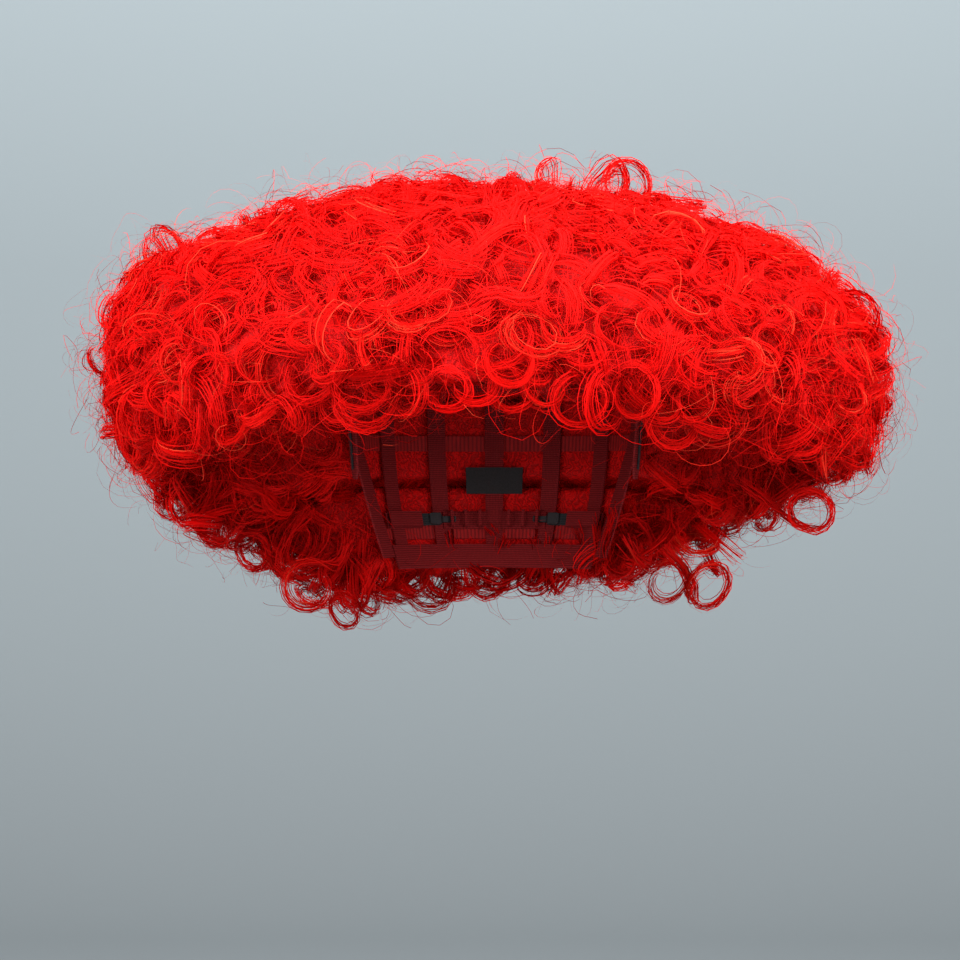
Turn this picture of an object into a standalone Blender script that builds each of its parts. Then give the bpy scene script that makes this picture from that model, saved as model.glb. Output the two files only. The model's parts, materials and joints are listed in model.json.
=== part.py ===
"""Curly costume wig: a stretch cap with sewn weft rows, ear tabs, nape adjusters and a full head of curls.

Metres, +Z up. The face looks along -Y and the wearer's left is +X. The origin is the centre of the
wearer's head at the height of the front band's lower edge. Azimuth is in degrees about the head's
upright axis, 0 at the back and 90 at the wearer's left ear. Latitude is 0 at the band and 90 at the crown.
Lift is the distance outside the surface of the head, and is negative on the wearer's side of the cap.
"""

import math

import bmesh
import bpy
from mathutils import Matrix, Vector

# Head form that the cap is cut for
HEAD_WIDTH = 0.152
HEAD_LENGTH = 0.194
HEAD_AXIS_Y = 0.018  # the back of the head is round about this upright axis
CROWN_HEIGHT = 0.080
NAPE_TAPER = 0.142  # half height of the ellipse that narrows the head towards the neck

# Outer shape of the brushed-out hair
AFRO_WIDTH = 0.400
AFRO_FRONT_REACH = 0.183
AFRO_BACK_REACH = 0.172
AFRO_MIDDLE_Z = 0.010
AFRO_RISE = 0.107
AFRO_DROP = 0.125

# Rows of hair, by latitude where they are sewn and where they end, nape first
ROWS_ON_CAP = (-38.0, -18.0, 1.0, 22.0, 50.0, 90.0)
ROWS_OUTSIDE = (-66.0, -42.0, -20.0, 18.0, 50.0, 90.0)
FRINGE_RISE = 11.0  # how far the fringe's lower edge climbs from the temples to the forehead
FRINGE_FROM = 110.0
SIDE_FROM = 45.0
EAR_AZIMUTH = 77.0
EAR_SPREAD = 13.0  # how much further forward the hair behind the ear reaches outside than on the cap
NAPE_AZIMUTH = 62.0
NAPE_SPREAD = 14.0
NAPE_SPLIT = 20.0
ROW_MARGIN = 0.5
SIDE_MARGIN = 0.8

# Layers of the cap, as lifts from the head
NET_OUTSIDE = -0.0005
NET_THICKNESS = 0.0009
STRAP_THICKNESS = 0.0009
LAYER_GAP = 0.0005
TRACK_THICKNESS = 0.0008
HAIR_GAP = 0.0008
SEAT_GAP = 0.0003

# Cap pieces
BAND_HEIGHT = 0.012
BAND_END_AZIMUTH = 98.0
NET_BACK_EDGE = 0.030
NET_BACK_AZIMUTH = 75.0
STRAP_WIDTH = 0.010
STRAP_TOP = 0.053
STRAP_AZIMUTHS = (0.0, 24.0, 48.0, 72.0)
NAPE_BAND_LOW = -0.087
NAPE_BAND_AZIMUTH = 57.0
TRACK_HEIGHT = 0.008
TRACK_MARGIN = 1.5
TRACK_EASE_FROM = 78.0
TRACK_EASE = 30.0
CROWN_TRACK_LATITUDE = 62.0
LABEL_WIDTH = 0.030
LABEL_HEIGHT = 0.014
LABEL_LOW = -0.048

# Ear tabs
TAB_AZIMUTH = 106.0
TAB_WIDTH = 0.024
TAB_LENGTH = 0.040
TAB_THICKNESS = 0.0009
TAB_TIP_SHARE = 0.45
STAY_WIDTH = 0.004
STAY_LENGTH = 0.030
STAY_THICKNESS = 0.0008

# Nape adjusters, with distances along the nape from the middle of the back
ADJUSTER_Z = -0.062
STRAP_END = 0.0306
ADJUSTER_LENGTH = 0.0334
ADJUSTER_HEIGHT = 0.006
ADJUSTER_THICKNESS = 0.0008
SLIDE_GAP = 0.0004
CASING_START = 0.042
CASING_LENGTH = 0.024
CASING_WALL = 0.0006
HOOK_THICKNESS = 0.0008
HOOK_PLATE_LENGTH = 0.0068
HOOK_TONGUE_LENGTH = 0.0075
HOOK_TONGUE_HEIGHT = 0.003
HOOK_LIP = 0.0005
LOOP_COUNT = 3
LOOP_SPACING = 0.008
LOOP_FIRST = 0.008
LOOP_WIDTH = 0.0016
LOOP_BAR = 0.0008
TAPE_THICKNESS = 0.0006
TAPE_MARGIN = 0.004

STEP_DEGREES = 6.0

COLOURS = {
    "curls": ((0.62, 0.005, 0.004), 0.55),
    "weft_track": ((0.30, 0.006, 0.008), 0.7),
    "net": ((0.16, 0.006, 0.010), 0.8),
    "elastic": ((0.24, 0.008, 0.012), 0.75),
    "adjuster_elastic": ((0.02, 0.02, 0.022), 0.7),
    "plastic": ((0.03, 0.03, 0.032), 0.3),
    "label": ((0.03, 0.028, 0.028), 0.8),
}


def clear_scene():
    for thing in list(bpy.data.objects):
        bpy.data.objects.remove(thing, do_unlink=True)


def make_collection(name):
    found = bpy.data.collections.get(name) or bpy.data.collections.new(name)
    if name not in bpy.context.scene.collection.children:
        bpy.context.scene.collection.children.link(found)
    return found


def make_material(name):
    colour, roughness = COLOURS[name]
    material = bpy.data.materials.new(name)
    material.use_nodes = True
    shader = material.node_tree.nodes["Principled BSDF"]
    shader.inputs["Base Color"].default_value = (*colour, 1.0)
    shader.inputs["Roughness"].default_value = roughness
    shader.inputs["Metallic"].default_value = 0.0
    return material


def mix(low, high, share):
    return low + (high - low) * share


def wrapped(azimuth):
    """The same azimuth between -180 and 180."""
    return (azimuth + 180.0) % 360.0 - 180.0


# Surfaces


def head_point(azimuth, latitude, lift):
    """A point at this lift from the head form, which is egg-shaped in plan and narrows to the neck."""
    turn, climb = math.radians(azimuth), math.radians(latitude)
    half_width = HEAD_WIDTH / 2 + lift
    reach = half_width if math.cos(turn) > 0 else HEAD_LENGTH - HEAD_WIDTH / 2 + lift
    rise = (CROWN_HEIGHT if latitude > 0 else NAPE_TAPER) + lift
    return Vector(
        (
            half_width * math.sin(turn) * math.cos(climb),
            HEAD_AXIS_Y + reach * math.cos(turn) * math.cos(climb),
            rise * math.sin(climb),
        )
    )


def afro_point(azimuth, latitude):
    """A point on the outside of the hair."""
    turn, climb = math.radians(azimuth), math.radians(latitude)
    reach = AFRO_BACK_REACH if math.cos(turn) > 0 else AFRO_FRONT_REACH
    rise = AFRO_RISE if latitude > 0 else AFRO_DROP
    return Vector(
        (
            AFRO_WIDTH / 2 * math.sin(turn) * math.cos(climb),
            HEAD_AXIS_Y + reach * math.cos(turn) * math.cos(climb),
            AFRO_MIDDLE_Z + rise * math.sin(climb),
        )
    )


def latitude_of(height):
    """The head form's latitude at a height above or below the band's lower edge."""
    rise = CROWN_HEIGHT if height > 0 else NAPE_TAPER
    return math.degrees(math.asin(max(-1.0, min(1.0, height / rise))))


def degrees_for(length, latitude=0.0):
    """The azimuth that an arc of this length takes at the back of the head."""
    return math.degrees(length / (HEAD_WIDTH / 2 * math.cos(math.radians(latitude))))


def track_lift(azimuth):
    """Lift of a weft's inner face: over the straps at the back, and easing down to the net at the front."""
    share = (abs(wrapped(azimuth)) - TRACK_EASE_FROM) / TRACK_EASE
    return mix(STRAP_THICKNESS, NET_OUTSIDE, max(0.0, min(1.0, share))) + LAYER_GAP


def hair_lift(azimuth):
    return track_lift(azimuth) + TRACK_THICKNESS + HAIR_GAP


NET_INSIDE = NET_OUTSIDE - NET_THICKNESS

# Depths of the sliding adjuster, from the straps that it is sewn to towards the wearer's neck
SEWN_FACE = -SEAT_GAP
CASING_OUTER = SEWN_FACE - CASING_WALL
SLIDE_FACE = min(CASING_OUTER, SEWN_FACE - TAPE_THICKNESS) - SLIDE_GAP
STRAP_FACE = SLIDE_FACE - ADJUSTER_THICKNESS
CASING_INNER = STRAP_FACE - SLIDE_GAP
PLATE_FACE = STRAP_FACE - SEAT_GAP
PLATE_BACK = PLATE_FACE - HOOK_THICKNESS
LOOP_INSIDE = PLATE_BACK - SEAT_GAP


# Solids


def finish(bm, name, material, collection):
    bmesh.ops.recalc_face_normals(bm, faces=list(bm.faces))
    if bm.calc_volume(signed=True) < 0:
        bmesh.ops.reverse_faces(bm, faces=list(bm.faces))
    mesh = bpy.data.meshes.new(name)
    bm.to_mesh(mesh)
    bm.free()
    mesh.materials.append(material)
    thing = bpy.data.objects.new(name, mesh)
    collection.objects.link(thing)
    return thing


def thicken(bm, place):
    """Extrudes an open patch into a closed shell. place(vertex position, depth) gives each new position."""
    base = list(bm.verts)
    grown = bmesh.ops.extrude_face_region(bm, geom=list(bm.faces))["geom"]
    raised = [part for part in grown if isinstance(part, bmesh.types.BMVert)]
    for vertices, depth in ((base, 0.0), (raised, 1.0)):
        for vertex in vertices:
            vertex.co = place(vertex.co.copy(), depth)


def block(name, material, along, up, place, collection=None):
    """A slab bent into place: place(u, v, w) gives the point at each share of its length, height and depth."""
    bm = bmesh.new()
    bmesh.ops.create_grid(bm, x_segments=along, y_segments=up, size=0.5)
    thicken(bm, lambda point, depth: place(point.x + 0.5, point.y + 0.5, depth))
    return finish(bm, name, material, collection or PARTS)


def dome(name, material, around, rows, place):
    """A shell over the crown: place(azimuth, share, w) gives the point, with share 1 at the top."""
    bm = bmesh.new()
    bmesh.ops.create_uvsphere(bm, u_segments=around, v_segments=2 * rows, radius=1.0)
    below = [vertex for vertex in bm.verts if vertex.co.z < -0.5 / rows]
    bmesh.ops.delete(bm, geom=below, context="VERTS")

    def from_sphere(point, depth):
        azimuth = math.degrees(math.atan2(point.x, point.y))
        share = math.asin(max(0.0, min(1.0, point.z))) / (math.pi / 2)
        return place(azimuth, share, depth)

    thicken(bm, from_sphere)
    return finish(bm, name, material, PARTS)


def ring(name, material, around, place):
    """A closed band: place(azimuth, v, w) gives the point."""
    bm = bmesh.new()
    bmesh.ops.create_cone(bm, cap_ends=False, segments=around, radius1=1.0, radius2=1.0, depth=1.0)

    def from_cylinder(point, depth):
        return place(math.degrees(math.atan2(point.x, point.y)), point.z + 0.5, depth)

    thicken(bm, from_cylinder)
    return finish(bm, name, material, PARTS)


def strip(name, material, azimuths, heights, lifts, up=1):
    """A fabric strip that follows the head, between two azimuths, two heights and two lifts."""
    along = max(1, math.ceil(abs(azimuths[1] - azimuths[0]) / STEP_DEGREES))

    def place(u, v, w):
        latitude = latitude_of(mix(*heights, v))
        return head_point(mix(*azimuths, u), latitude, mix(*lifts, w))

    return block(name, material, along, up, place)


# Cap


def net_edge(azimuth):
    """The net's lower edge: just above the front band, and higher behind the ears."""
    share = (BAND_END_AZIMUTH - abs(azimuth)) / (BAND_END_AZIMUTH - NET_BACK_AZIMUTH)
    return latitude_of(mix(BAND_HEIGHT + SEAT_GAP, NET_BACK_EDGE, max(0.0, min(1.0, share))))


def make_crown_net():
    def place(azimuth, share, w):
        latitude = mix(net_edge(azimuth), 90.0, share)
        return head_point(azimuth, latitude, mix(NET_INSIDE, NET_OUTSIDE, w))

    dome("crown_net", MATERIALS["net"], 48, 7, place)


def make_front_band():
    azimuths = (BAND_END_AZIMUTH, 360.0 - BAND_END_AZIMUTH)
    strip("front_band", MATERIALS["elastic"], azimuths, (0.0, BAND_HEIGHT), (NET_INSIDE, NET_OUTSIDE))


def ear_curve(share):
    """Centre line of the band behind the ear, as (azimuth, height), from the front band to the nape."""
    start = Vector((BAND_END_AZIMUTH - degrees_for(SEAT_GAP), BAND_HEIGHT / 2))
    low = NAPE_BAND_LOW + BAND_HEIGHT / 2
    end = Vector((NAPE_BAND_AZIMUTH + degrees_for(BAND_HEIGHT / 2, latitude_of(low)), low))
    over_ear = Vector((mix(end.x, start.x, 0.45), start.y))
    down_neck = Vector((end.x + 1.0, mix(end.y, start.y, 0.45)))
    rest = 1.0 - share
    return (
        start * rest**3
        + over_ear * 3 * rest**2 * share
        + down_neck * 3 * rest * share**2
        + end * share**3
    )


def make_ear_band(side, name):
    small = 0.01

    def place(u, v, w):
        here = ear_curve(u)
        ahead = ear_curve(min(1.0, u + small)) - ear_curve(max(0.0, u - small))
        run = Vector((math.radians(ahead.x) * HEAD_WIDTH / 2, ahead.y)).normalized()
        across = Vector((run.y, -run.x)) * mix(-BAND_HEIGHT / 2, BAND_HEIGHT / 2, v)
        azimuth = here.x + degrees_for(across.x, latitude_of(here.y))
        latitude = latitude_of(here.y + across.y)
        return head_point(side * azimuth, latitude, mix(NET_INSIDE, NET_OUTSIDE, w))

    block(name, MATERIALS["elastic"], 14, 1, place)


def make_nape_band():
    end = NAPE_BAND_AZIMUTH - degrees_for(2 * SEAT_GAP)
    azimuths = (-end, end)
    heights = (NAPE_BAND_LOW, NAPE_BAND_LOW + BAND_HEIGHT)
    strip("nape_band", MATERIALS["elastic"], azimuths, heights, (NET_INSIDE, NET_OUTSIDE))


def strap_foot(azimuth):
    """Height where a vertical strap ends, on the nape band or on the band behind the ear."""
    if abs(azimuth) < NAPE_BAND_AZIMUTH:
        return NAPE_BAND_LOW + 0.1 * BAND_HEIGHT
    shares = [step / 100 for step in range(101)]
    nearest = min(shares, key=lambda share: abs(ear_curve(share).x - abs(azimuth)))
    return ear_curve(nearest).y


def make_vertical_straps():
    for azimuth in STRAP_AZIMUTHS:
        for side, word in ((1, "left"), (-1, "right")):
            if azimuth == 0.0 and side < 0:
                continue
            name = "back_centre_strap" if azimuth == 0.0 else f"{word}_strap_{azimuth:.0f}"
            middle = side * azimuth
            half = degrees_for(STRAP_WIDTH) / 2
            foot = strap_foot(azimuth)
            rows = max(3, round((STRAP_TOP - foot) / 0.012))
            azimuths = (middle - half, middle + half)
            lifts = (0.0, STRAP_THICKNESS)
            strip(name, MATERIALS["elastic"], azimuths, (foot, STRAP_TOP), lifts, rows)


def make_label():
    half = degrees_for(LABEL_WIDTH, latitude_of(LABEL_LOW)) / 2
    heights = (LABEL_LOW, LABEL_LOW + LABEL_HEIGHT)
    lifts = (SEWN_FACE - TAPE_THICKNESS, SEWN_FACE)
    strip("nape_label", MATERIALS["label"], (-half, half), heights, lifts)


# Ear tabs


def tab_frame():
    """Top middle of the left ear tab's outer face, and its unit vectors forwards, downwards and outwards."""
    top = head_point(TAB_AZIMUTH, latitude_of(-SEAT_GAP), NET_OUTSIDE)
    low = head_point(TAB_AZIMUTH, latitude_of(-TAB_LENGTH), NET_OUTSIDE)
    ahead = head_point(TAB_AZIMUTH + 1.0, 0.0, 0.0) - head_point(TAB_AZIMUTH - 1.0, 0.0, 0.0)
    ahead.normalize()
    down = (low - top).normalized()
    outward = down.cross(ahead).normalized()
    if outward.x < 0:
        outward.negate()
    return top, ahead, down, outward


def flat_tongue(name, material, side, length, width, tip_share, lifts, start=0.0):
    """A flat strip on the ear tab's plane that narrows to a rounded tip, mirrored for the right side."""
    top, ahead, down, outward = tab_frame()

    def place(u, v, w):
        bend = max(0.0, (u - 0.55) / 0.45)
        half = width / 2 * mix(tip_share, 1.0, math.sqrt(1.0 - bend**2))
        point = top + down * (start + u * length) + ahead * mix(-half, half, v)
        point += outward * mix(*lifts, w)
        return Vector((side * point.x, point.y, point.z))

    block(name, material, 10, 2, place)


def make_ear_tab(side, word):
    lifts = (-TAB_THICKNESS, 0.0)
    fabric, plastic = MATERIALS["elastic"], MATERIALS["plastic"]
    flat_tongue(f"{word}_ear_tab", fabric, side, TAB_LENGTH, TAB_WIDTH, TAB_TIP_SHARE, lifts)
    lifts = (SEAT_GAP, SEAT_GAP + STAY_THICKNESS)
    start = (TAB_LENGTH - STAY_LENGTH) / 2
    flat_tongue(f"{word}_ear_stay", plastic, side, STAY_LENGTH, STAY_WIDTH, 0.5, lifts, start)


# Nape adjusters


def nape_point(side, distance, rise, lift):
    """A point beside the nape: distance from the middle of the back, rise above the adjuster's middle."""
    latitude = latitude_of(ADJUSTER_Z + rise)
    azimuth = side * degrees_for(distance, latitude_of(ADJUSTER_Z))
    return head_point(azimuth, latitude, lift)


def make_adjuster_strap(side, word):
    half = ADJUSTER_HEIGHT / 2

    def place(u, v, w):
        distance = STRAP_END + u * ADJUSTER_LENGTH
        return nape_point(side, distance, mix(-half, half, v), mix(STRAP_FACE, SLIDE_FACE, w))

    block(f"{word}_adjuster_strap", MATERIALS["adjuster_elastic"], 14, 1, place)


def make_casing(side, word):
    """The sewn channel that holds the strap's tail: a flat square tube, open at both ends."""
    half = ADJUSTER_HEIGHT / 2 + SLIDE_GAP
    wall = CASING_WALL
    bm = bmesh.new()
    bmesh.ops.create_cone(bm, cap_ends=False, segments=4, radius1=1.0, radius2=1.0, depth=1.0)
    bmesh.ops.rotate(bm, verts=bm.verts, matrix=Matrix.Rotation(math.pi / 4, 3, "Z"))
    long_edges = [e for e in bm.edges if abs(e.verts[0].co.z - e.verts[1].co.z) > 0.5]
    bmesh.ops.subdivide_edges(bm, edges=long_edges, cuts=7)

    def place(point, depth):
        rise = math.copysign(half + wall * depth, point.x)
        inner_lift, outer_lift = CASING_INNER - wall * depth, CASING_OUTER + wall * depth
        lift = outer_lift if point.y > 0 else inner_lift
        distance = CASING_START + (point.z + 0.5) * CASING_LENGTH
        return nape_point(side, distance, rise, lift)

    thicken(bm, place)
    finish(bm, f"{word}_strap_casing", MATERIALS["elastic"], PARTS)


def make_hook(side, word):
    """The flat hook on the strap's end: a plate over the strap, a step, and a tongue with a lip at its tip."""
    joint = STRAP_END - SEAT_GAP
    step = joint - 0.0015
    tip = step - HOOK_TONGUE_LENGTH
    wide, narrow = ADJUSTER_HEIGHT / 2, HOOK_TONGUE_HEIGHT / 2
    tongue = (SLIDE_FACE - HOOK_THICKNESS, SLIDE_FACE)
    lip = (SLIDE_FACE - HOOK_THICKNESS - HOOK_LIP, SLIDE_FACE)
    plate = (PLATE_BACK, PLATE_FACE)
    stations = (
        (tip, narrow * 0.7, lip),
        (tip + 0.0008, narrow, lip),
        (tip + 0.0012, narrow, tongue),
        (step, narrow, tongue),
        (joint, wide, plate),
        (joint + HOOK_PLATE_LENGTH * 0.8, wide, plate),
        (joint + HOOK_PLATE_LENGTH, wide * 0.8, plate),
    )

    def place(u, v, w):
        distance, half, lifts = stations[round(u * (len(stations) - 1))]
        return nape_point(side, distance, mix(-half, half, v), mix(*lifts, w))

    block(f"{word}_adjuster_hook", MATERIALS["plastic"], len(stations) - 1, 1, place)


def make_loop(side, distance, name):
    """One arched loop over the adjuster's path, its feet sunk into the tape."""
    foot = SEWN_FACE - TAPE_THICKNESS / 2
    inside, outside = ADJUSTER_HEIGHT / 2 + SLIDE_GAP, ADJUSTER_HEIGHT / 2 + SLIDE_GAP + LOOP_BAR
    top = LOOP_INSIDE - LOOP_BAR
    near = ((-inside, foot), (-inside, LOOP_INSIDE), (inside, LOOP_INSIDE), (inside, foot))
    far = ((-outside, foot), (-outside, top), (outside, top), (outside, foot))

    def place(u, v, w):
        corner = round(u * 3)
        rise, lift = Vector(near[corner]).lerp(Vector(far[corner]), w)
        return nape_point(side, distance + mix(-LOOP_WIDTH / 2, LOOP_WIDTH / 2, v), rise, lift)

    thing = block(name, MATERIALS["elastic"], 3, 1, place, CUTTERS)
    thing.hide_render = True
    thing.display_type = "WIRE"
    return thing


def make_loop_tape(side, word):
    """The tape of loops that the hook catches in, one solid with its arches."""
    last = LOOP_FIRST + (LOOP_COUNT - 1) * LOOP_SPACING
    half = ADJUSTER_HEIGHT / 2 + SLIDE_GAP + LOOP_BAR + SEAT_GAP

    def place(u, v, w):
        distance = mix(LOOP_FIRST - TAPE_MARGIN, last + TAPE_MARGIN, u)
        lifts = (SEWN_FACE - TAPE_THICKNESS, SEWN_FACE)
        return nape_point(side, distance, mix(-half, half, v), mix(*lifts, w))

    tape = block(f"{word}_loop_tape", MATERIALS["elastic"], 8, 1, place)
    for number in range(LOOP_COUNT):
        union = tape.modifiers.new(f"loop_{number + 1}", "BOOLEAN")
        union.operation = "UNION"
        union.object = make_loop(side, LOOP_FIRST + number * LOOP_SPACING, f"{word}_loop_{number + 1}")


# Hair


def row_edge(row, azimuth):
    """Latitude outside of the line below a row; below the second row the fringe's edge climbs to the forehead."""
    if row != 2:
        return ROWS_OUTSIDE[row]
    share = max(0.0, min(1.0, (abs(azimuth) - FRINGE_FROM) / (180.0 - FRINGE_FROM)))
    return ROWS_OUTSIDE[row] + FRINGE_RISE * share * share * (3 - 2 * share)


def make_hair_section(name, row, azimuths, spread=(0.0, 0.0)):
    """One section of a row: the curls as a solid from the cap out, and the weft track that holds them."""
    start, end = azimuths[0] + SIDE_MARGIN, azimuths[1] - SIDE_MARGIN
    low, high = ROWS_ON_CAP[row] + ROW_MARGIN, ROWS_ON_CAP[row + 1] - ROW_MARGIN

    def place(u, v, w):
        azimuth = mix(start, end, u)
        edges = (row_edge(row, wrapped(azimuth)), row_edge(row + 1, wrapped(azimuth)))
        outside = mix(edges[0] + ROW_MARGIN, edges[1] - ROW_MARGIN, v)
        inside = head_point(azimuth, mix(low, high, v), hair_lift(azimuth))
        return inside.lerp(afro_point(azimuth + mix(*spread, u), outside), w)

    along = max(2, math.ceil((end - start) / (1.5 * STEP_DEGREES)))
    block(f"{name}_curls", MATERIALS["curls"], along, 3, place)
    middle = math.radians((low + high) / 2)
    height = (CROWN_HEIGHT if middle > 0 else NAPE_TAPER) * math.sin(middle)
    heights = (height - TRACK_HEIGHT / 2, height + TRACK_HEIGHT / 2)
    ends = (azimuths[0] + TRACK_MARGIN, azimuths[1] - TRACK_MARGIN)

    def place_track(u, v, w):
        azimuth = mix(*ends, u)
        lift = track_lift(azimuth) + w * TRACK_THICKNESS
        return head_point(azimuth, latitude_of(mix(*heights, v)), lift)

    steps = math.ceil((ends[1] - ends[0]) / STEP_DEGREES)
    block(f"{name}_weft", MATERIALS["weft_track"], steps, 1, place_track)


def make_crown_hair():
    row = len(ROWS_ON_CAP) - 2

    def place(azimuth, share, w):
        latitude = mix(ROWS_ON_CAP[row] + ROW_MARGIN, 90.0, share)
        outside = mix(ROWS_OUTSIDE[row] + ROW_MARGIN, 90.0, share)
        return head_point(azimuth, latitude, hair_lift(azimuth)).lerp(afro_point(azimuth, outside), w)

    dome("crown_curls", MATERIALS["curls"], 40, 4, place)
    half = math.degrees(TRACK_HEIGHT / 2 / CROWN_HEIGHT)

    def place_track(azimuth, v, w):
        latitude = CROWN_TRACK_LATITUDE + mix(-half, half, v)
        return head_point(azimuth, latitude, track_lift(azimuth) + w * TRACK_THICKNESS)

    ring("crown_weft", MATERIALS["weft_track"], 48, place_track)


def make_hair():
    make_crown_hair()
    for row, level in ((3, "upper"), (2, "middle")):
        quarters = (("back", -SIDE_FROM), ("left", SIDE_FROM), ("front", 180 - SIDE_FROM), ("right", 180 + SIDE_FROM))
        for index, (word, start) in enumerate(quarters):
            end = quarters[(index + 1) % 4][1] + (360.0 if index == 3 else 0.0)
            make_hair_section(f"{level}_{word}", row, (start, end))
    make_hair_section("lower_back", 1, (-SIDE_FROM, SIDE_FROM))
    make_hair_section("lower_left", 1, (SIDE_FROM, EAR_AZIMUTH), (0.0, EAR_SPREAD))
    make_hair_section("lower_right", 1, (-EAR_AZIMUTH, -SIDE_FROM), (-EAR_SPREAD, 0.0))
    make_hair_section("nape_centre", 0, (-NAPE_SPLIT, NAPE_SPLIT))
    make_hair_section("nape_left", 0, (NAPE_SPLIT, NAPE_AZIMUTH), (0.0, NAPE_SPREAD))
    make_hair_section("nape_right", 0, (-NAPE_AZIMUTH, -NAPE_SPLIT), (-NAPE_SPREAD, 0.0))


clear_scene()
PARTS = make_collection("costume_wig")
CUTTERS = make_collection("cutters")
MATERIALS = {name: make_material(name) for name in COLOURS}

make_crown_net()
make_front_band()
make_nape_band()
make_vertical_straps()
make_label()
for SIDE, WORD in ((1, "left"), (-1, "right")):
    make_ear_band(SIDE, f"{WORD}_ear_band")
    make_ear_tab(SIDE, WORD)
    make_adjuster_strap(SIDE, WORD)
    make_casing(SIDE, WORD)
    make_hook(SIDE, WORD)
    make_loop_tape(SIDE, WORD)
make_hair()
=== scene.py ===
import json
import math
import random

import bmesh
import bpy
import numpy as np
from mathutils import Matrix, Vector, noise

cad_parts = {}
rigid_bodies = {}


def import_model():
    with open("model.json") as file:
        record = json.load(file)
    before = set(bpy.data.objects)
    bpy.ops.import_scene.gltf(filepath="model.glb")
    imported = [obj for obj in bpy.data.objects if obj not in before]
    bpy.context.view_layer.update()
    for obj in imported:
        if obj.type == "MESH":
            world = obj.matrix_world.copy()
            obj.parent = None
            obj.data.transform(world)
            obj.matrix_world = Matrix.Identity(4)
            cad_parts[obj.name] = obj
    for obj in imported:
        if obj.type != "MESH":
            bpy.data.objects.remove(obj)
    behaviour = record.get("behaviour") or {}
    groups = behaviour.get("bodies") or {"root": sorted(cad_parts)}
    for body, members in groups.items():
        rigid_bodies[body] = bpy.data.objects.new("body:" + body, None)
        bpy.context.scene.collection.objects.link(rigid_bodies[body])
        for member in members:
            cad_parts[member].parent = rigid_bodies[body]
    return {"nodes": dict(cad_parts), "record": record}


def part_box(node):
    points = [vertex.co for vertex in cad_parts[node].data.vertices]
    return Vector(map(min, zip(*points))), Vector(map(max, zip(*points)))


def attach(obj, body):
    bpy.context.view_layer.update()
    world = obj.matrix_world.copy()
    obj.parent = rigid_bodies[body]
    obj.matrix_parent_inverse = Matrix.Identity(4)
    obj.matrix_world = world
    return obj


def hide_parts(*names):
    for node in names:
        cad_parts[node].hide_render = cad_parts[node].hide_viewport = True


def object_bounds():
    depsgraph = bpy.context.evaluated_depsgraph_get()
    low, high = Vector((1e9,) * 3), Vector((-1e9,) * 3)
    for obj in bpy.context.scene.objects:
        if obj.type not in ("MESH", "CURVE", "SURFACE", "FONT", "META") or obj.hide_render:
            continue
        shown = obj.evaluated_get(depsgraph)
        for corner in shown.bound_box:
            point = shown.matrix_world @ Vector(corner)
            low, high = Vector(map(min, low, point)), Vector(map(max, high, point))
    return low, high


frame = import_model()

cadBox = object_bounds()
rng = np.random.default_rng(27)
random.seed(27)

shot = {"distance": 1.4, "width": 0.4858, "aimX": -0.0076, "aimZ": -0.0405, "sensor": 0.036}
axisY = 0.018  # the upright axis that the back of the head is round about

camera = bpy.data.cameras.new("studioCamera")
camera.sensor_width = shot["sensor"] * 1000
camera.lens = camera.sensor_width * shot["distance"] / shot["width"]
camera.clip_start, camera.clip_end = 0.05, 20
cameraObject = bpy.data.objects.new("studioCamera", camera)
cameraObject.location = (shot["aimX"], axisY - shot["distance"], shot["aimZ"])
cameraObject.rotation_euler = (math.pi / 2, 0, 0)
bpy.context.scene.collection.objects.link(cameraObject)
bpy.context.scene.camera = cameraObject
bpy.context.scene.view_settings.view_transform = "Standard"
print("camera set")


class Wire:

    def __init__(self, tree, socket):
        self.tree = tree
        self.socket = socket

    def maths(self, operation, first, second=None):
        made = self.tree.nodes.new("ShaderNodeMath")
        made.operation = operation
        for place, value in enumerate((first, second)):
            if isinstance(value, Wire):
                self.tree.links.new(value.socket, made.inputs[place])
            elif value is not None:
                made.inputs[place].default_value = value
        return Wire(self.tree, made.outputs[0])

    def __add__(self, other):
        return self.maths("ADD", self, other)

    def __radd__(self, other):
        return self.maths("ADD", other, self)

    def __sub__(self, other):
        return self.maths("SUBTRACT", self, other)

    def __rsub__(self, other):
        return self.maths("SUBTRACT", other, self)

    def __mul__(self, other):
        return self.maths("MULTIPLY", self, other)

    def __rmul__(self, other):
        return self.maths("MULTIPLY", other, self)

    def __truediv__(self, other):
        return self.maths("DIVIDE", self, other)

    def __pow__(self, other):
        return self.maths("POWER", self, other)

    def sine(self):
        return self.maths("SINE", self)

    def clamped(self):
        return self.maths("MAXIMUM", self.maths("MINIMUM", self, 1.0), 0.0)

    def above(self, level):
        return self.maths("GREATER_THAN", self, level)


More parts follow.
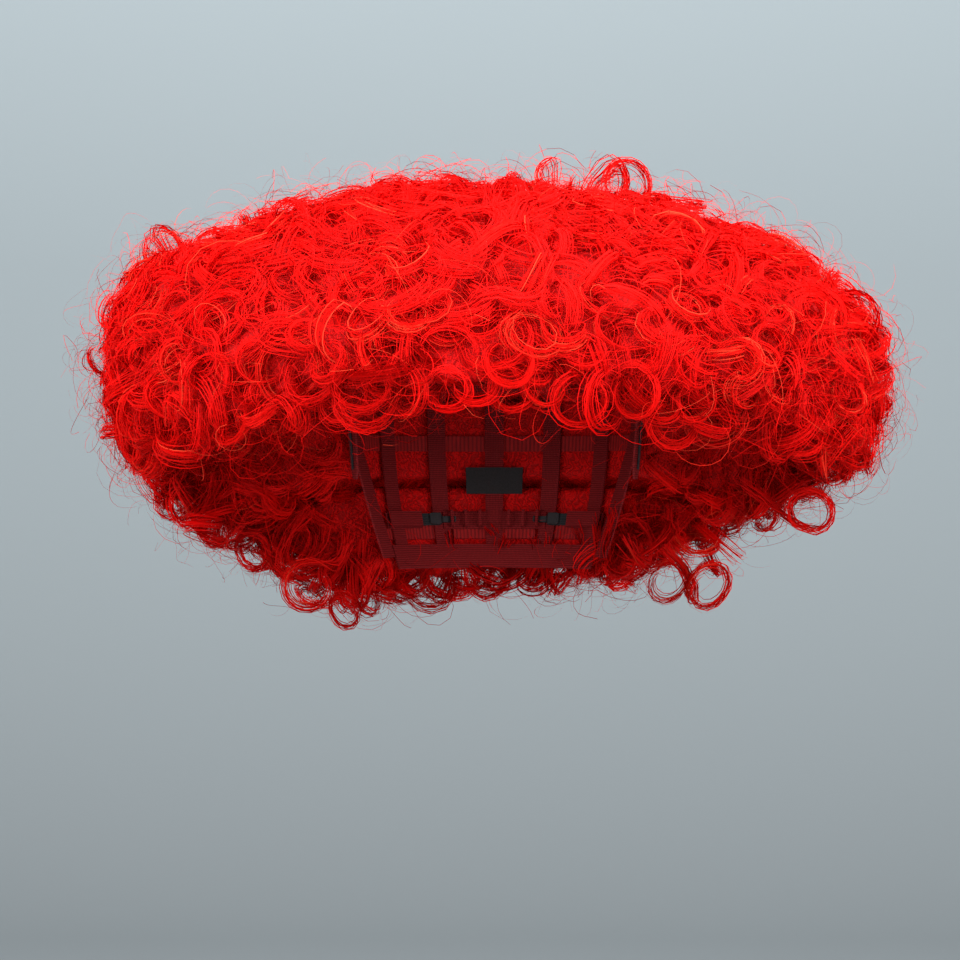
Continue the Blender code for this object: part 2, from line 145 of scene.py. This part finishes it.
class Finish:
    def __init__(self, name, roughness=0.6, specular=0.3):
        self.material = bpy.data.materials.new(name)
        self.material.use_nodes = True
        self.tree = self.material.node_tree
        self.shader = self.tree.nodes["Principled BSDF"]
        self.shader.inputs["Roughness"].default_value = roughness
        self.shader.inputs["Specular IOR Level"].default_value = specular

    def node(self, kind, settings=None, output=0, **values):
        made = self.tree.nodes.new(kind)
        for name, value in (settings or {}).items():
            if name == "stops":
                for stop, (place, colour) in zip(made.color_ramp.elements, value):
                    stop.position, stop.color = place, (*colour, 1)
            else:
                setattr(made, name, value)
        for name, value in values.items():
            socket = made.inputs[int(name[1:])] if name[0] == "i" and name[1:].isdigit() else made.inputs[name]
            if isinstance(value, Wire):
                self.tree.links.new(value.socket, socket)
            else:
                socket.default_value = value
        return Wire(self.tree, made.outputs[output])

    def place(self):
        return self.node("ShaderNodeTexCoord", output=3)

    def part(self, vector, axis):
        return self.node("ShaderNodeSeparateXYZ", output=axis, Vector=vector)

    def wave(self, scale, distortion):
        details = {"Detail": 3.0, "Detail Scale": 1.4, "Detail Roughness": 0.6}
        return self.node("ShaderNodeTexWave", Vector=self.place(), Scale=scale, Distortion=distortion, **details)

    def noise(self, scale, detail=2.0, stretch=None, vector=None):
        vector = vector or self.place()
        if stretch:
            vector = self.node("ShaderNodeMapping", Vector=vector, Scale=stretch)
        return self.node("ShaderNodeTexNoise", Vector=vector, Scale=scale, Detail=detail)

    def attribute(self, name):
        return self.node("ShaderNodeAttribute", {"attribute_name": name}, output=2)

    def blend(self, share, first, second):
        colours = [c if isinstance(c, Wire) else (*c, 1) for c in (first, second)]
        return self.node("ShaderNodeMix", {"data_type": "RGBA"}, output=2, i0=share, i6=colours[0], i7=colours[1])

    def feed(self, **links):
        for name, wire in links.items():
            self.tree.links.new(wire.socket, self.shader.inputs[name.replace("_", " ")])
        return self

    def bump(self, height, strength, distance):
        made = self.node("ShaderNodeBump", Height=height, Strength=strength, Distance=distance)
        return self.feed(Normal=made)


def makeFibre():
    finish = Finish("curlFibre", 0.55, 0.08)
    tone, sink = finish.attribute("tone"), finish.attribute("sink")
    patch = finish.noise(26.0, 2.0)
    # The tone mixes deep and bright red: it differs at random, and is lower on underneath locks as painted shade.
    share = (tone * 0.75 + patch * 0.5 - 0.12).clamped()
    colour = finish.blend(share, curls["deep"], curls["bright"])
    # Fibres with the highest tone turn orange: a painted highlight.
    colour = finish.blend(((tone - 0.93) * 12.0).clamped(), colour, curls["paintedHighlight"])
    # Fibres lying deeper below the hair's surface are blended towards the root red: painted shade of the hollows
    # between curls.
    colour = finish.blend((sink * 1.1 - 0.25).clamped() * 0.9, colour, curls["root"])
    finish.feed(Base_Color=colour, Roughness=0.48 + tone * 0.2)
    return finish.material


def makeUnderHair():
    finish = Finish("underHair", 0.7, 0.2)
    streak = finish.wave(90.0, 22.0) * 0.8 + finish.noise(200.0, 2.0) * 0.2
    # The under-hair's streaks run between the root red, painted as shade, and the deep red.
    colour = finish.blend((streak * 1.6 - 0.3).clamped(), curls["root"], curls["deep"])
    finish.feed(Base_Color=colour).bump(streak, 0.5, 0.0015)
    return finish.material


def turnLength(finish, radius=0.076):
    vector = finish.place()
    x, y = finish.part(vector, 0), finish.part(vector, 1)
    return x.maths("ARCTAN2", x, y - axisY) * radius


def makeElastic(name, dark, light, rib=0.0011):
    finish = Finish(name, 0.75, 0.2)
    height = finish.part(finish.place(), 2)
    ribs = (height * (2 * math.pi / rib)).sine() * 0.5 + 0.5
    cross = (turnLength(finish) * (2 * math.pi / (rib * 0.8))).sine() * 0.5 + 0.5
    weave = (ribs * 0.6 + cross * 0.4) * (0.75 + finish.noise(900.0) * 0.5)
    finish.feed(Base_Color=finish.blend(weave.clamped(), dark, light), Roughness=0.85 - weave * 0.2)
    return finish.bump(weave, 0.6, 0.0004).material


def makeWeft():
    finish = Finish("weftStitching", 0.7, 0.25)
    dash = ((turnLength(finish) * (2 * math.pi / 0.0022)).sine()).above(-0.2)
    fibre = finish.noise(700.0, 3.0, (1.0, 1.0, 0.2))
    colour = finish.blend((dash * 0.45 + fibre * 0.5).clamped(), (0.14, 0.002, 0.003), (0.55, 0.012, 0.012))
    return finish.feed(Base_Color=colour).bump(dash + fibre, 0.5, 0.0005).material


def makeNet():
    finish = Finish("capNet", 0.8, 0.15)
    height = finish.part(finish.place(), 2)
    turn = turnLength(finish)
    first = ((turn + height) * (2 * math.pi / netCloth["cell"])).sine()
    second = ((turn - height) * (2 * math.pi / netCloth["cell"])).sine()
    thread = first.maths("MAXIMUM", first, second).above(0.35)
    colour = finish.blend(finish.noise(1200.0), (0.10, 0.003, 0.005), (0.30, 0.01, 0.014))
    finish.feed(Base_Color=colour, Alpha=thread)
    return finish.material


def makePlastic():
    finish = Finish("mouldedPlastic", 0.32, 0.5)
    grain = finish.noise(1500.0, 3.0)
    finish.feed(Base_Color=finish.blend(grain, (0.012, 0.012, 0.013), (0.035, 0.034, 0.036)))
    finish.feed(Roughness=0.26 + grain * 0.2)
    return finish.bump(grain, 0.15, 0.0002).material


def makeLabel():
    finish = Finish("labelTape", 0.8, 0.2)
    height = finish.part(finish.place(), 2)
    weave = ((height * (2 * math.pi / 0.0005)).sine() * 0.5 + 0.5) * finish.noise(1400.0)
    finish.feed(Base_Color=finish.blend(weave.clamped(), (0.02, 0.018, 0.018), (0.07, 0.06, 0.06)))
    return finish.bump(weave, 0.3, 0.0002).material


curls = {
    "deep": (0.84, 0.0, 0.0),
    "bright": (1.0, 0.005, 0.002),
    # root is a darker red painted in as shade, deep in the hair and in the under-hair
    "root": (0.50, 0.0, 0.0),
    "spacing": 0.0112,
    # the orange of the painted highlight on a few fibres
    "paintedHighlight": (1.0, 0.075, 0.03),
    "strands": 23,
    "points": 19,
    "radius": (0.0075, 0.0145),
    "turns": (0.8, 1.6),
    "fibreWidth": 0.00046,
}
loose = {"count": 11000, "radius": (0.007, 0.018), "fibreWidth": 0.00021, "points": 12}
flyaway = {"count": 3600, "radius": (0.006, 0.015), "fibreWidth": 0.0001, "points": 14}
room = {"share": 0.03, "extra": 0.009}  # how far hair may stand off the solid sections
netCloth = {"cell": 0.0034, "rows": 20, "around": 96, "lift": -0.001}
headForm = {"half": 0.076, "front": 0.118, "crown": 0.080, "nape": 0.142}

curlNodes = [name for name in frame["nodes"] if name.endswith("_curls")]
curlLow = np.min([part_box(name)[0] for name in curlNodes], axis=0)
curlHigh = np.max([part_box(name)[1] for name in curlNodes], axis=0)
afro = {
    "half": (curlHigh[0] - curlLow[0]) / 2 + 0.001,
    "front": axisY - curlLow[1],
    "back": curlHigh[1] - axisY,
    "middle": 0.010,
    "rise": curlHigh[2] - 0.017,
    "drop": 0.125,
    "shoulder": 0.07,
    "tuck": 0.13,
}

# Each section: where it is sewn by latitude, where it ends outside, its azimuths, and how it fans outside
sections = {"crown": {"sewn": (50, 90), "outside": (50, 90), "turn": (0, 360), "fan": (0, 0)}}
for level, sewn, outside in (("upper", (22, 50), (18, 50)), ("middle", (1, 22), (-20, 18))):
    for word, start in (("back", -45), ("left", 45), ("front", 135), ("right", 225)):
        sections[f"{level}_{word}"] = {"sewn": sewn, "outside": outside, "turn": (start, start + 90), "fan": (0, 0)}
sections["lower_back"] = {"sewn": (-18, 1), "outside": (-42, -20), "turn": (-45, 45), "fan": (0, 0)}
sections["lower_left"] = {"sewn": (-18, 1), "outside": (-42, -20), "turn": (45, 77), "fan": (0, 13)}
sections["lower_right"] = {"sewn": (-18, 1), "outside": (-42, -20), "turn": (-77, -45), "fan": (-13, 0)}
sections["nape_centre"] = {"sewn": (-38, -18), "outside": (-66, -42), "turn": (-20, 20), "fan": (0, 0)}
sections["nape_left"] = {"sewn": (-38, -18), "outside": (-66, -42), "turn": (20, 62), "fan": (0, 14)}
sections["nape_right"] = {"sewn": (-38, -18), "outside": (-66, -42), "turn": (-62, -20), "fan": (-14, 0)}


def headPoints(azimuth, latitude, lift):
    turn, climb = np.radians(azimuth), np.radians(latitude)
    half = headForm["half"] + lift
    reach = np.where(np.cos(turn) > 0, half, headForm["front"] + lift)
    rise = np.where(latitude > 0, headForm["crown"], headForm["nape"]) + lift
    return np.stack([half * np.sin(turn) * np.cos(climb), axisY + reach * np.cos(turn) * np.cos(climb),
                     rise * np.sin(climb)], -1)


def afroPoints(azimuth, latitude):
    turn, climb = np.radians(azimuth), np.radians(latitude)
    reach = np.where(np.cos(turn) > 0, afro["back"], afro["front"])
    rise = np.where(latitude > 0, afro["rise"], afro["drop"])
    side = np.clip(-np.sin(turn), 0, 1) ** 2 * np.exp(-((np.asarray(latitude) - 33) / 20) ** 2)
    tuck = np.clip(np.sin(turn), 0, 1) ** 2 * np.clip(-climb - 0.35, 0, 0.5) * 2
    # the wearer's right shoulder of the hair is a little squarer, and the lower left tucks in
    full = 1 + afro["shoulder"] * side - afro["tuck"] * tuck
    return np.stack([afro["half"] * full * np.sin(turn) * np.cos(climb),
                     axisY + reach * np.cos(turn) * np.cos(climb),
                     afro["middle"] + rise * full * np.sin(climb)], -1)


def fringeRise(azimuth):
    share = np.clip((np.abs((azimuth + 180) % 360 - 180) - 110) / 70, 0, 1)
    return 13 * share * share * (3 - 2 * share)


def hairPoints(section, u, v, w):
    u, v, w = np.broadcast_arrays(*(np.asarray(x, float) for x in (u, v, w)))
    azimuth = section["turn"][0] + u * (section["turn"][1] - section["turn"][0])
    low, high = section["outside"]
    low = low + fringeRise(azimuth) * (low == -20 and section["sewn"][0] == 1)
    outside = afroPoints(azimuth + section["fan"][0] + u * (section["fan"][1] - section["fan"][0]),
                         low + v * (high - low))
    inside = headPoints(azimuth, section["sewn"][0] + v * (section["sewn"][1] - section["sewn"][0]), 0.003)
    return inside + (outside - inside) * w[..., None]


def ribbons(name, points, radii, tones, sinks, facings, width, material):
    count, steps = points.shape[:2]
    curve = bpy.data.curves.new(name + "Curve", "CURVE")
    curve.dimensions = "3D"
    curve.extrude = width / 2
    flat = np.ones((count, steps, 4))
    flat[:, :, :3] = points
    tilts = rng.uniform(0, math.pi, count)
    for index in range(count):
        spline = curve.splines.new("POLY")
        spline.points.add(steps - 1)
        spline.points.foreach_set("co", flat[index].ravel())
        spline.points.foreach_set("radius", radii[index])
        spline.points.foreach_set("tilt", np.full(steps, tilts[index]))
    guide = bpy.data.objects.new(name + "Curve", curve)
    bpy.context.scene.collection.objects.link(guide)
    graph = bpy.context.evaluated_depsgraph_get()
    mesh = bpy.data.meshes.new_from_object(guide.evaluated_get(graph))
    bpy.data.objects.remove(guide)
    bpy.data.curves.remove(curve)
    mesh.name = name
    facings = np.repeat(facings.reshape(-1, 3), 2, axis=0)
    turnOutwards(mesh, facings)
    sink = np.repeat(sinks.ravel(), 2).astype(np.float32)
    mesh.attributes.new("sink", "FLOAT", "POINT").data.foreach_set("value", sink)
    tone = np.repeat(tones, 2 * steps).astype(np.float32)
    mesh.attributes.new("tone", "FLOAT", "POINT").data.foreach_set("value", tone)
    mesh.materials.clear()
    mesh.materials.append(material)
    mesh.shade_smooth()
    mesh.normals_split_custom_set_from_vertices(facings)
    piece = bpy.data.objects.new(name, mesh)
    bpy.context.scene.collection.objects.link(piece)
    return piece


def turnOutwards(mesh, facings):
    # each face of a fibre is wound so that it faces out of the hair, and is shaded as part of it
    normals = np.empty((len(mesh.polygons), 3))
    mesh.polygons.foreach_get("normal", normals.ravel())
    corners = np.empty(len(mesh.loops), int)
    mesh.loops.foreach_get("vertex_index", corners)
    wanted = facings[corners.reshape(-1, 4)[:, 0]]
    bm = bmesh.new()
    bm.from_mesh(mesh)
    bm.faces.ensure_lookup_table()
    turned = np.nonzero((normals * wanted).sum(1) < 0)[0]
    bmesh.ops.reverse_faces(bm, faces=[bm.faces[index] for index in turned])
    bm.to_mesh(mesh)
    bm.free()


def squareAxes(axis):
    helper = np.where(np.abs(axis[2]) < 0.8, [0, 0, 1], [1, 0, 0])
    first = np.cross(axis, helper)
    first /= np.linalg.norm(first)
    return first, np.cross(axis, first)


def ringlet(centre, normal, axis, radius, turns, pitch, strands, steps, spread=1.0, rooted=0.022):
    first, second = squareAxes(axis)
    t = np.linspace(0, 1, steps)[None, :]
    column = (strands, 1)
    angle = rng.uniform(0, 2 * math.pi) + rng.choice((-1, 1)) * 2 * math.pi * turns * t
    angle = angle + rng.normal(0, 0.25, column)
    grow = rng.uniform(0.7, 1.0) + 0.3 * np.sin(math.pi * (0.12 + 0.76 * t)) - rng.uniform(0.0, 0.42) * t
    fray = 0.6 + 0.8 * t
    reach = radius * grow * (1 + rng.normal(0, 0.08 * spread, column) * fray)
    reach = reach * (1 + rng.uniform(0, 0.16) * np.cos(2 * (angle - rng.uniform(0, math.pi))))
    waver = rng.normal(0, 0.0009 * spread, column) * np.sin(rng.uniform(5, 11, column) * t + rng.uniform(0, 6, column))
    depth = pitch * (t - 0.5) + rng.normal(0, 0.0019 * spread, column) * fray + waver
    reach = reach + waver[:, ::-1]
    points = (centre + first * (reach * np.cos(angle))[..., None] + second * (reach * np.sin(angle))[..., None]
              + axis * depth[..., None])
    if rooted:
        root = centre - normal * rooted + rng.normal(0, 0.002, (strands, 1, 3))
        pull = (np.clip(1 - t / 0.22, 0, 1) ** 1.6)[..., None]
        points = points * (1 - pull) + root * pull
    radii = np.broadcast_to(np.clip((1.04 - t) / 0.28, 0.12, 1) ** 0.7, (strands, steps)).copy()
    return points, radii


def kept(points):
    low, high = (np.array(side) for side in cadBox)
    spare = (high - low) * room["share"] + room["extra"]
    return ((points > low - spare) & (points < high + spare)).all(axis=(1, 2))


class Bundle:
    def __init__(self):
        self.points, self.radii, self.tones, self.sinks, self.facings = [], [], [], [], []

    def add(self, points, radii, tone, surface, normal, centre):
        inside = kept(points)
        points, radii = points[inside], radii[inside]
        around = (points - centre) / np.linalg.norm(points - centre, axis=-1, keepdims=True)
        facings = normal * 0.8 + around * 0.55 + [0, -0.25, 0.1] + rng.normal(0, 0.12, (len(points), 1, 3))
        self.facings.append(facings / np.linalg.norm(facings, axis=-1, keepdims=True))
        # how deep a point lies below the hair's surface, which darkens the fibre as painted shade
        self.sinks.append(np.clip(-((points - surface) @ normal) / 0.02, 0, 1))
        self.points.append(points)
        self.radii.append(radii)
        self.tones.append(np.clip(tone + rng.normal(0, 0.12, len(points)), 0, 1))

    def make(self, name, width, material):
        return ribbons(name, np.concatenate(self.points), np.concatenate(self.radii),
                       np.concatenate(self.tones), np.concatenate(self.sinks),
                       np.concatenate(self.facings), width, material)


def openFaces(name):
    found = [("outside", 1.0)]
    if name.startswith(("middle", "lower", "nape")):
        found.append(("underneath", 0.8))
    if name in ("lower_left", "nape_left"):
        found.append(("lastEnd", 1.0))
    if name in ("lower_right", "nape_right"):
        found.append(("firstEnd", 1.0))
    return found


def facePoints(section, face, a, b):
    if face == "outside":
        return hairPoints(section, a, b, 1.0)
    if face == "underneath":
        return hairPoints(section, a, 0.0, 0.15 + 0.85 * b)
    return hairPoints(section, 1.0 if face == "lastEnd" else 0.0, a, 0.12 + 0.88 * b)


def sampleFace(section, face, density, taken):
    tries = 4000
    a, b = rng.random(tries), rng.random(tries)
    step = 1e-3
    points = facePoints(section, face, a, b)
    alongA = (facePoints(section, face, np.minimum(a + step, 1), b) - facePoints(section, face, a - step, b))
    alongB = (facePoints(section, face, a, np.minimum(b + step, 1)) - facePoints(section, face, a, b - step))
    normals = np.cross(alongA, alongB)
    area = np.linalg.norm(normals, axis=1)
    normals /= np.maximum(area, 1e-12)[:, None]
    middle = hairPoints(section, 0.5, 0.5, 0.5)
    away = points - (middle if face != "outside" else np.array([0, axisY, 0.0]))
    normals *= np.sign((normals * away).sum(1))[:, None]
    kept = np.nonzero(rng.random(tries) < area / area.max())[0]
    spacing = curls["spacing"] / density
    chosen = []
    for index in kept:
        near = np.array(taken) if taken else np.zeros((0, 3))
        if len(near) and (np.linalg.norm(near - points[index], axis=1) < spacing).any():
            continue
        taken.append(points[index])
        chosen.append((points[index], normals[index]))
    return chosen


def unit(vector):
    return vector / np.linalg.norm(vector)


def swellAt(point):
    # the hair gathers in clumps, with valleys between them
    return noise.noise(Vector(point) * 24.0) * 0.009


def lockAt(point, normal, bundle, face):
    sideways = unit(np.cross(normal, rng.normal(size=3)))
    endOn = rng.random() < 0.72
    lean = rng.uniform(0.0, 0.75) if endOn else rng.uniform(2.2, 6.0)
    axis = unit(normal + sideways * lean + np.array([0, 0, 0.25 if endOn else 0]))
    radius = rng.uniform(*curls["radius"])
    inset = radius * (0.7 if endOn else 0.95) + rng.uniform(0.0, 0.005)
    centre = point - normal * (inset - swellAt(point))
    turns = rng.uniform(*curls["turns"])
    pitch = rng.uniform(0.003, 0.010) if endOn else rng.uniform(0.008, 0.020)
    # Locks on the underneath faces get a lower tone, so they are painted darker as shade; otherwise the tone differs at
    # random.
    tone = rng.uniform(0.15, 0.9) * (1.0 if face == "outside" else 0.7)
    points, radii = ringlet(centre, normal, axis, radius, turns, pitch, curls["strands"], curls["points"])
    bundle.add(points, radii, tone, point, normal, centre)


def makeUnderMass(name, section, material):
    bm = bmesh.new()
    along = max(8, round((section["turn"][1] - section["turn"][0]) / 3))
    up = 12
    opened = [face for face, _ in openFaces(name)]
    shrink = 0.14
    lowU = shrink if "firstEnd" in opened else 0.0
    highU = 1.0 - shrink if "lastEnd" in opened else 1.0
    lowV = shrink if "underneath" in opened else 0.0
    if name == "crown":
        bmesh.ops.create_uvsphere(bm, u_segments=96, v_segments=2 * up, radius=1.0)
        bmesh.ops.delete(bm, geom=[v for v in bm.verts if v.co.z < -0.5 / up], context="VERTS")
    else:
        bmesh.ops.create_grid(bm, x_segments=along, y_segments=up, size=0.5)
    inner = list(bm.verts)
    grown = bmesh.ops.extrude_face_region(bm, geom=list(bm.faces))["geom"]
    outer = [item for item in grown if isinstance(item, bmesh.types.BMVert)]
    for vertices, w in ((inner, 0.0), (outer, 1.0)):
        for vertex in vertices:
            if name == "crown":
                u = math.atan2(vertex.co.x, vertex.co.y) / (2 * math.pi)
                v = math.asin(max(0.0, min(1.0, vertex.co.z))) / (math.pi / 2)
            else:
                u = lowU + (vertex.co.x + 0.5) * (highU - lowU)
                v = lowV + (vertex.co.y + 0.5) * (1.0 - lowV)
            deep = Vector(hairPoints(section, u, v, 0.0))
            point = Vector(hairPoints(section, u, v, 1.0))
            if w:
                reach = afro["back"] if point.y > axisY else afro["front"]
                spans = afro["half"], reach, afro["rise"] if point.z > afro["middle"] else afro["drop"]
                offset = point - Vector((0, axisY, afro["middle"]))
                out = Vector([side / span ** 2 for side, span in zip(offset, spans)]).normalized()
                bumps = noise.noise(point * 70.0) * 0.0035 + noise.noise(point * 160.0) * 0.0015
                point -= out * (0.0135 - bumps - swellAt(point))
            vertex.co = point if w else deep
    bmesh.ops.recalc_face_normals(bm, faces=list(bm.faces))
    mesh = bpy.data.meshes.new(f"{name}_under")
    bm.to_mesh(mesh)
    bm.free()
    mesh.materials.append(material)
    mesh.shade_smooth()
    piece = bpy.data.objects.new(f"{name}_under", mesh)
    bpy.context.scene.collection.objects.link(piece)
    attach(piece, "cap")
    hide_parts(f"{name}_curls")


# Tufts that stand off the outline: centre from the middle of the head, radius, turns, strands
tufts = {
    "topHook": {"section": "crown", "at": (0.050, 0.0, 0.110), "radius": 0.016, "turns": 0.8, "strands": 34},
    "topLoop": {"section": "crown", "at": (0.066, 0.0, 0.108), "radius": 0.012, "turns": 1.0, "strands": 26},
    "topWisp": {"section": "crown", "at": (0.032, 0.0, 0.113), "radius": 0.010, "turns": 0.7, "strands": 18},
    "leftTip": {"section": "middle_right", "at": (-0.198, 0.0, 0.022), "radius": 0.010, "turns": 0.5, "strands": 26},
    "shoulder": {"section": "upper_right", "at": (-0.168, 0.0, 0.074), "radius": 0.012, "turns": 1.2, "strands": 26},
    "shoulderLow": {"section": "upper_right", "at": (-0.182, 0.0, 0.056), "radius": 0.010, "turns": 1.0, "strands": 24},
    "rightWisp": {"section": "upper_left", "at": (0.143, 0.0, 0.078), "radius": 0.012, "turns": 0.5, "strands": 20},
    "rightLoop": {"section": "lower_left", "at": (0.158, -0.01, -0.056), "radius": 0.011, "turns": 1.3, "strands": 26},
    "rightRing": {"section": "nape_left", "at": (0.107, -0.01, -0.094), "radius": 0.0115, "turns": 1.5, "strands": 28},
    "rightInner": {"section": "nape_left", "at": (0.087, 0.0, -0.092), "radius": 0.010, "turns": 1.2, "strands": 22},
    "leftRing": {"section": "nape_right", "at": (-0.076, 0.0, -0.107), "radius": 0.0095, "turns": 1.6, "strands": 18},
    "leftHem": {"section": "nape_right", "at": (-0.094, 0.0, -0.094), "radius": 0.011, "turns": 1.1, "strands": 24},
}


def makeHair():
    fibre, under = makeFibre(), makeUnderHair()
    taken = []
    bundles = {}
    flyaways = {}
    total = 0
    for name, section in sections.items():
        makeUnderMass(name, section, under)
        bundle = Bundle()
        places = []
        for face, density in openFaces(name):
            chosen = sampleFace(section, face, density, taken)
            for point, normal in chosen:
                lockAt(point, normal, bundle, face)
            places += chosen
        for tuft in tufts.values():
            if tuft["section"] != name:
                continue
            centre = np.array(tuft["at"]) + [0, axisY, 0]
            normal = unit(centre - [0, axisY, 0.0])
            axis = unit(np.array([rng.normal(0, 0.15), -1.0, rng.normal(0, 0.15)]))
            points, radii = ringlet(centre, normal, axis, tuft["radius"], tuft["turns"], 0.006,
                                    tuft["strands"], curls["points"], rooted=0.03)
            bundle.add(points, radii, 0.75, centre, normal, centre - normal * 0.01)
        bundles[name], flyaways[name] = bundle, places
        total += len(places)
    print("locks", total)
    for name, bundle in bundles.items():
        places = flyaways[name]
        share = len(places) / total
        fuzz = looseFibres(places, round(loose["count"] * share), loose, (-0.008, -0.001), 1.2)
        wisps = looseFibres(places, round(flyaway["count"] * share), flyaway, (-0.006, 0.005), 0.5)
        for word, made, width in (("locks", bundle, curls["fibreWidth"]), ("fuzz", fuzz, loose["fibreWidth"]),
                                  ("wisps", wisps, flyaway["fibreWidth"])):
            piece = made.make(f"{name}_{word}", width, fibre)
            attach(piece, "cap")
            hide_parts(f"{name}_curls")
    sizes = {o.name: len(o.data.polygons) * 2 for o in bpy.data.objects if o.name.endswith(("_locks", "_fuzz", "_wisps"))}
    print("hair made", sum(sizes.values()), "largest", max(sizes.items(), key=lambda pair: pair[1]))


def looseFibres(places, count, kind, lifts, endOn):
    found = Bundle()
    for _ in range(count):
        point, normal = places[rng.integers(len(places))]
        axis = unit(unit(np.cross(normal, rng.normal(size=3))) + normal * rng.normal(0, endOn))
        centre = point + normal * rng.uniform(*lifts) + rng.normal(0, 0.006, 3)
        radius = rng.uniform(*kind["radius"])
        points, radii = ringlet(centre - normal * radius * 0.5, normal, axis, radius, rng.uniform(0.25, 1.0),
                                rng.uniform(0.0, 0.02), 1, kind["points"], rooted=0)
        found.add(points, radii, rng.uniform(0.3, 0.92), point, normal, centre - normal * 0.02)
    return found


def makeNetCloth():
    bm = bmesh.new()
    rows = netCloth["rows"]
    bmesh.ops.create_uvsphere(bm, u_segments=netCloth["around"], v_segments=2 * rows, radius=1.0)
    bmesh.ops.delete(bm, geom=[v for v in bm.verts if v.co.z < -0.5 / rows], context="VERTS")
    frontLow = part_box("front_band")[1][2] + 0.0004
    for vertex in bm.verts:
        azimuth = math.degrees(math.atan2(vertex.co.x, vertex.co.y))
        share = math.asin(max(0.0, min(1.0, vertex.co.z))) / (math.pi / 2)
        rise = max(0.0, min(1.0, (98 - abs(azimuth)) / 23))
        edge = math.degrees(math.asin((frontLow + (0.030 - frontLow) * rise) / headForm["crown"]))
        vertex.co = Vector(headPoints(azimuth, edge + (90 - edge) * share, netCloth["lift"]))
    bmesh.ops.recalc_face_normals(bm, faces=list(bm.faces))
    area = sum(face.calc_area() for face in bm.faces)
    mesh = bpy.data.meshes.new("net_cloth")
    bm.to_mesh(mesh)
    bm.free()
    mesh.shade_smooth()
    mesh.materials.append(makeNet())
    piece = bpy.data.objects.new("net_cloth", mesh)
    bpy.context.scene.collection.objects.link(piece)
    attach(piece, "cap")
    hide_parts("crown_net")
    side = math.sqrt(area / 0.8)
    print("net area", round(area, 4), "flat", round(side * 0.9, 3), round(side / 0.9, 3))


def finishCap():
    elastic = makeElastic("redElastic", (0.10, 0.003, 0.004), (0.34, 0.012, 0.014))
    black = makeElastic("blackElastic", (0.008, 0.008, 0.009), (0.05, 0.05, 0.052), 0.0009)
    weft, plastic, label = makeWeft(), makePlastic(), makeLabel()
    slots = {"elastic": elastic, "adjuster_elastic": black, "weft_track": weft, "plastic": plastic, "label": label}
    slotOf = {entry["node"]: entry["material_slot"] for entry in frame["record"]["subparts"]}
    for name, node in frame["nodes"].items():
        if slotOf[name] in slots:
            for place in node.material_slots:
                place.material = slots[slotOf[name]]
    print("cap finished")


def makeStudio():
    floor = {"z": -0.42, "back": 1.5, "front": -1.4, "half": 2.6, "top": 2.2, "bend": 0.6}
    bm = bmesh.new()
    profile = [bm.verts.new((-floor["half"], floor["front"], floor["z"]))]
    profile.append(bm.verts.new((-floor["half"], floor["back"], floor["z"])))
    profile.append(bm.verts.new((-floor["half"], floor["back"], floor["top"])))
    edges = [bm.edges.new(pair) for pair in zip(profile, profile[1:])]
    made = bmesh.ops.extrude_edge_only(bm, edges=edges)["geom"]
    moved = [item for item in made if isinstance(item, bmesh.types.BMVert)]
    bmesh.ops.translate(bm, verts=moved, vec=(2 * floor["half"], 0, 0))
    corner = [e for e in bm.edges if all(abs(v.co.y - floor["back"]) < 1e-6 and abs(v.co.z - floor["z"]) < 1e-6
                                         for v in e.verts)]
    bmesh.ops.bevel(bm, geom=corner, offset=floor["bend"], segments=24, profile=0.5, affect="EDGES", material=-1)
    bmesh.ops.recalc_face_normals(bm, faces=list(bm.faces))
    mesh = bpy.data.meshes.new("backdrop")
    bm.to_mesh(mesh)
    bm.free()
    mesh.shade_smooth()
    finish = Finish("backdropPaper", 0.9, 0.1)
    height = finish.part(finish.place(), 2)
    # The backdrop is painted lighter towards the top, as light falling from above.
    share = ((height + 0.45) / 1.0).clamped()
    finish.feed(Base_Color=finish.blend(share, (0.235, 0.255, 0.262), (0.47, 0.53, 0.55)))
    mesh.materials.append(finish.material)
    piece = bpy.data.objects.new("backdrop", mesh)
    bpy.context.scene.collection.objects.link(piece)


def makeLamp(name, place, aim, size, power, colour=(1, 1, 1)):
    lamp = bpy.data.lights.new(name, "AREA")
    lamp.shape = "RECTANGLE"
    lamp.size, lamp.size_y = size
    lamp.energy = power
    lamp.color = colour
    holder = bpy.data.objects.new(name, lamp)
    holder.location = place
    holder.rotation_euler = (Vector(aim) - Vector(place)).to_track_quat("-Z", "Y").to_euler()
    bpy.context.scene.collection.objects.link(holder)


def lightStudio():
    world = bpy.data.worlds.new("studioAir")
    world.use_nodes = True
    world.node_tree.nodes["Background"].inputs["Color"].default_value = (0.9, 0.95, 1.0, 1)
    world.node_tree.nodes["Background"].inputs["Strength"].default_value = 0.75
    bpy.context.scene.world = world
    middle = (0, axisY, 0)
    makeLamp("overhead", (0.1, -0.55, 1.2), middle, (1.5, 1.1), 24)
    makeLamp("leftFill", (-1.2, -1.1, 0.4), middle, (0.9, 1.2), 15)
    makeLamp("rightFill", (1.2, -1.1, 0.4), middle, (0.9, 1.2), 15)


makeStudio()
lightStudio()
makeHair()
makeNetCloth()
finishCap()
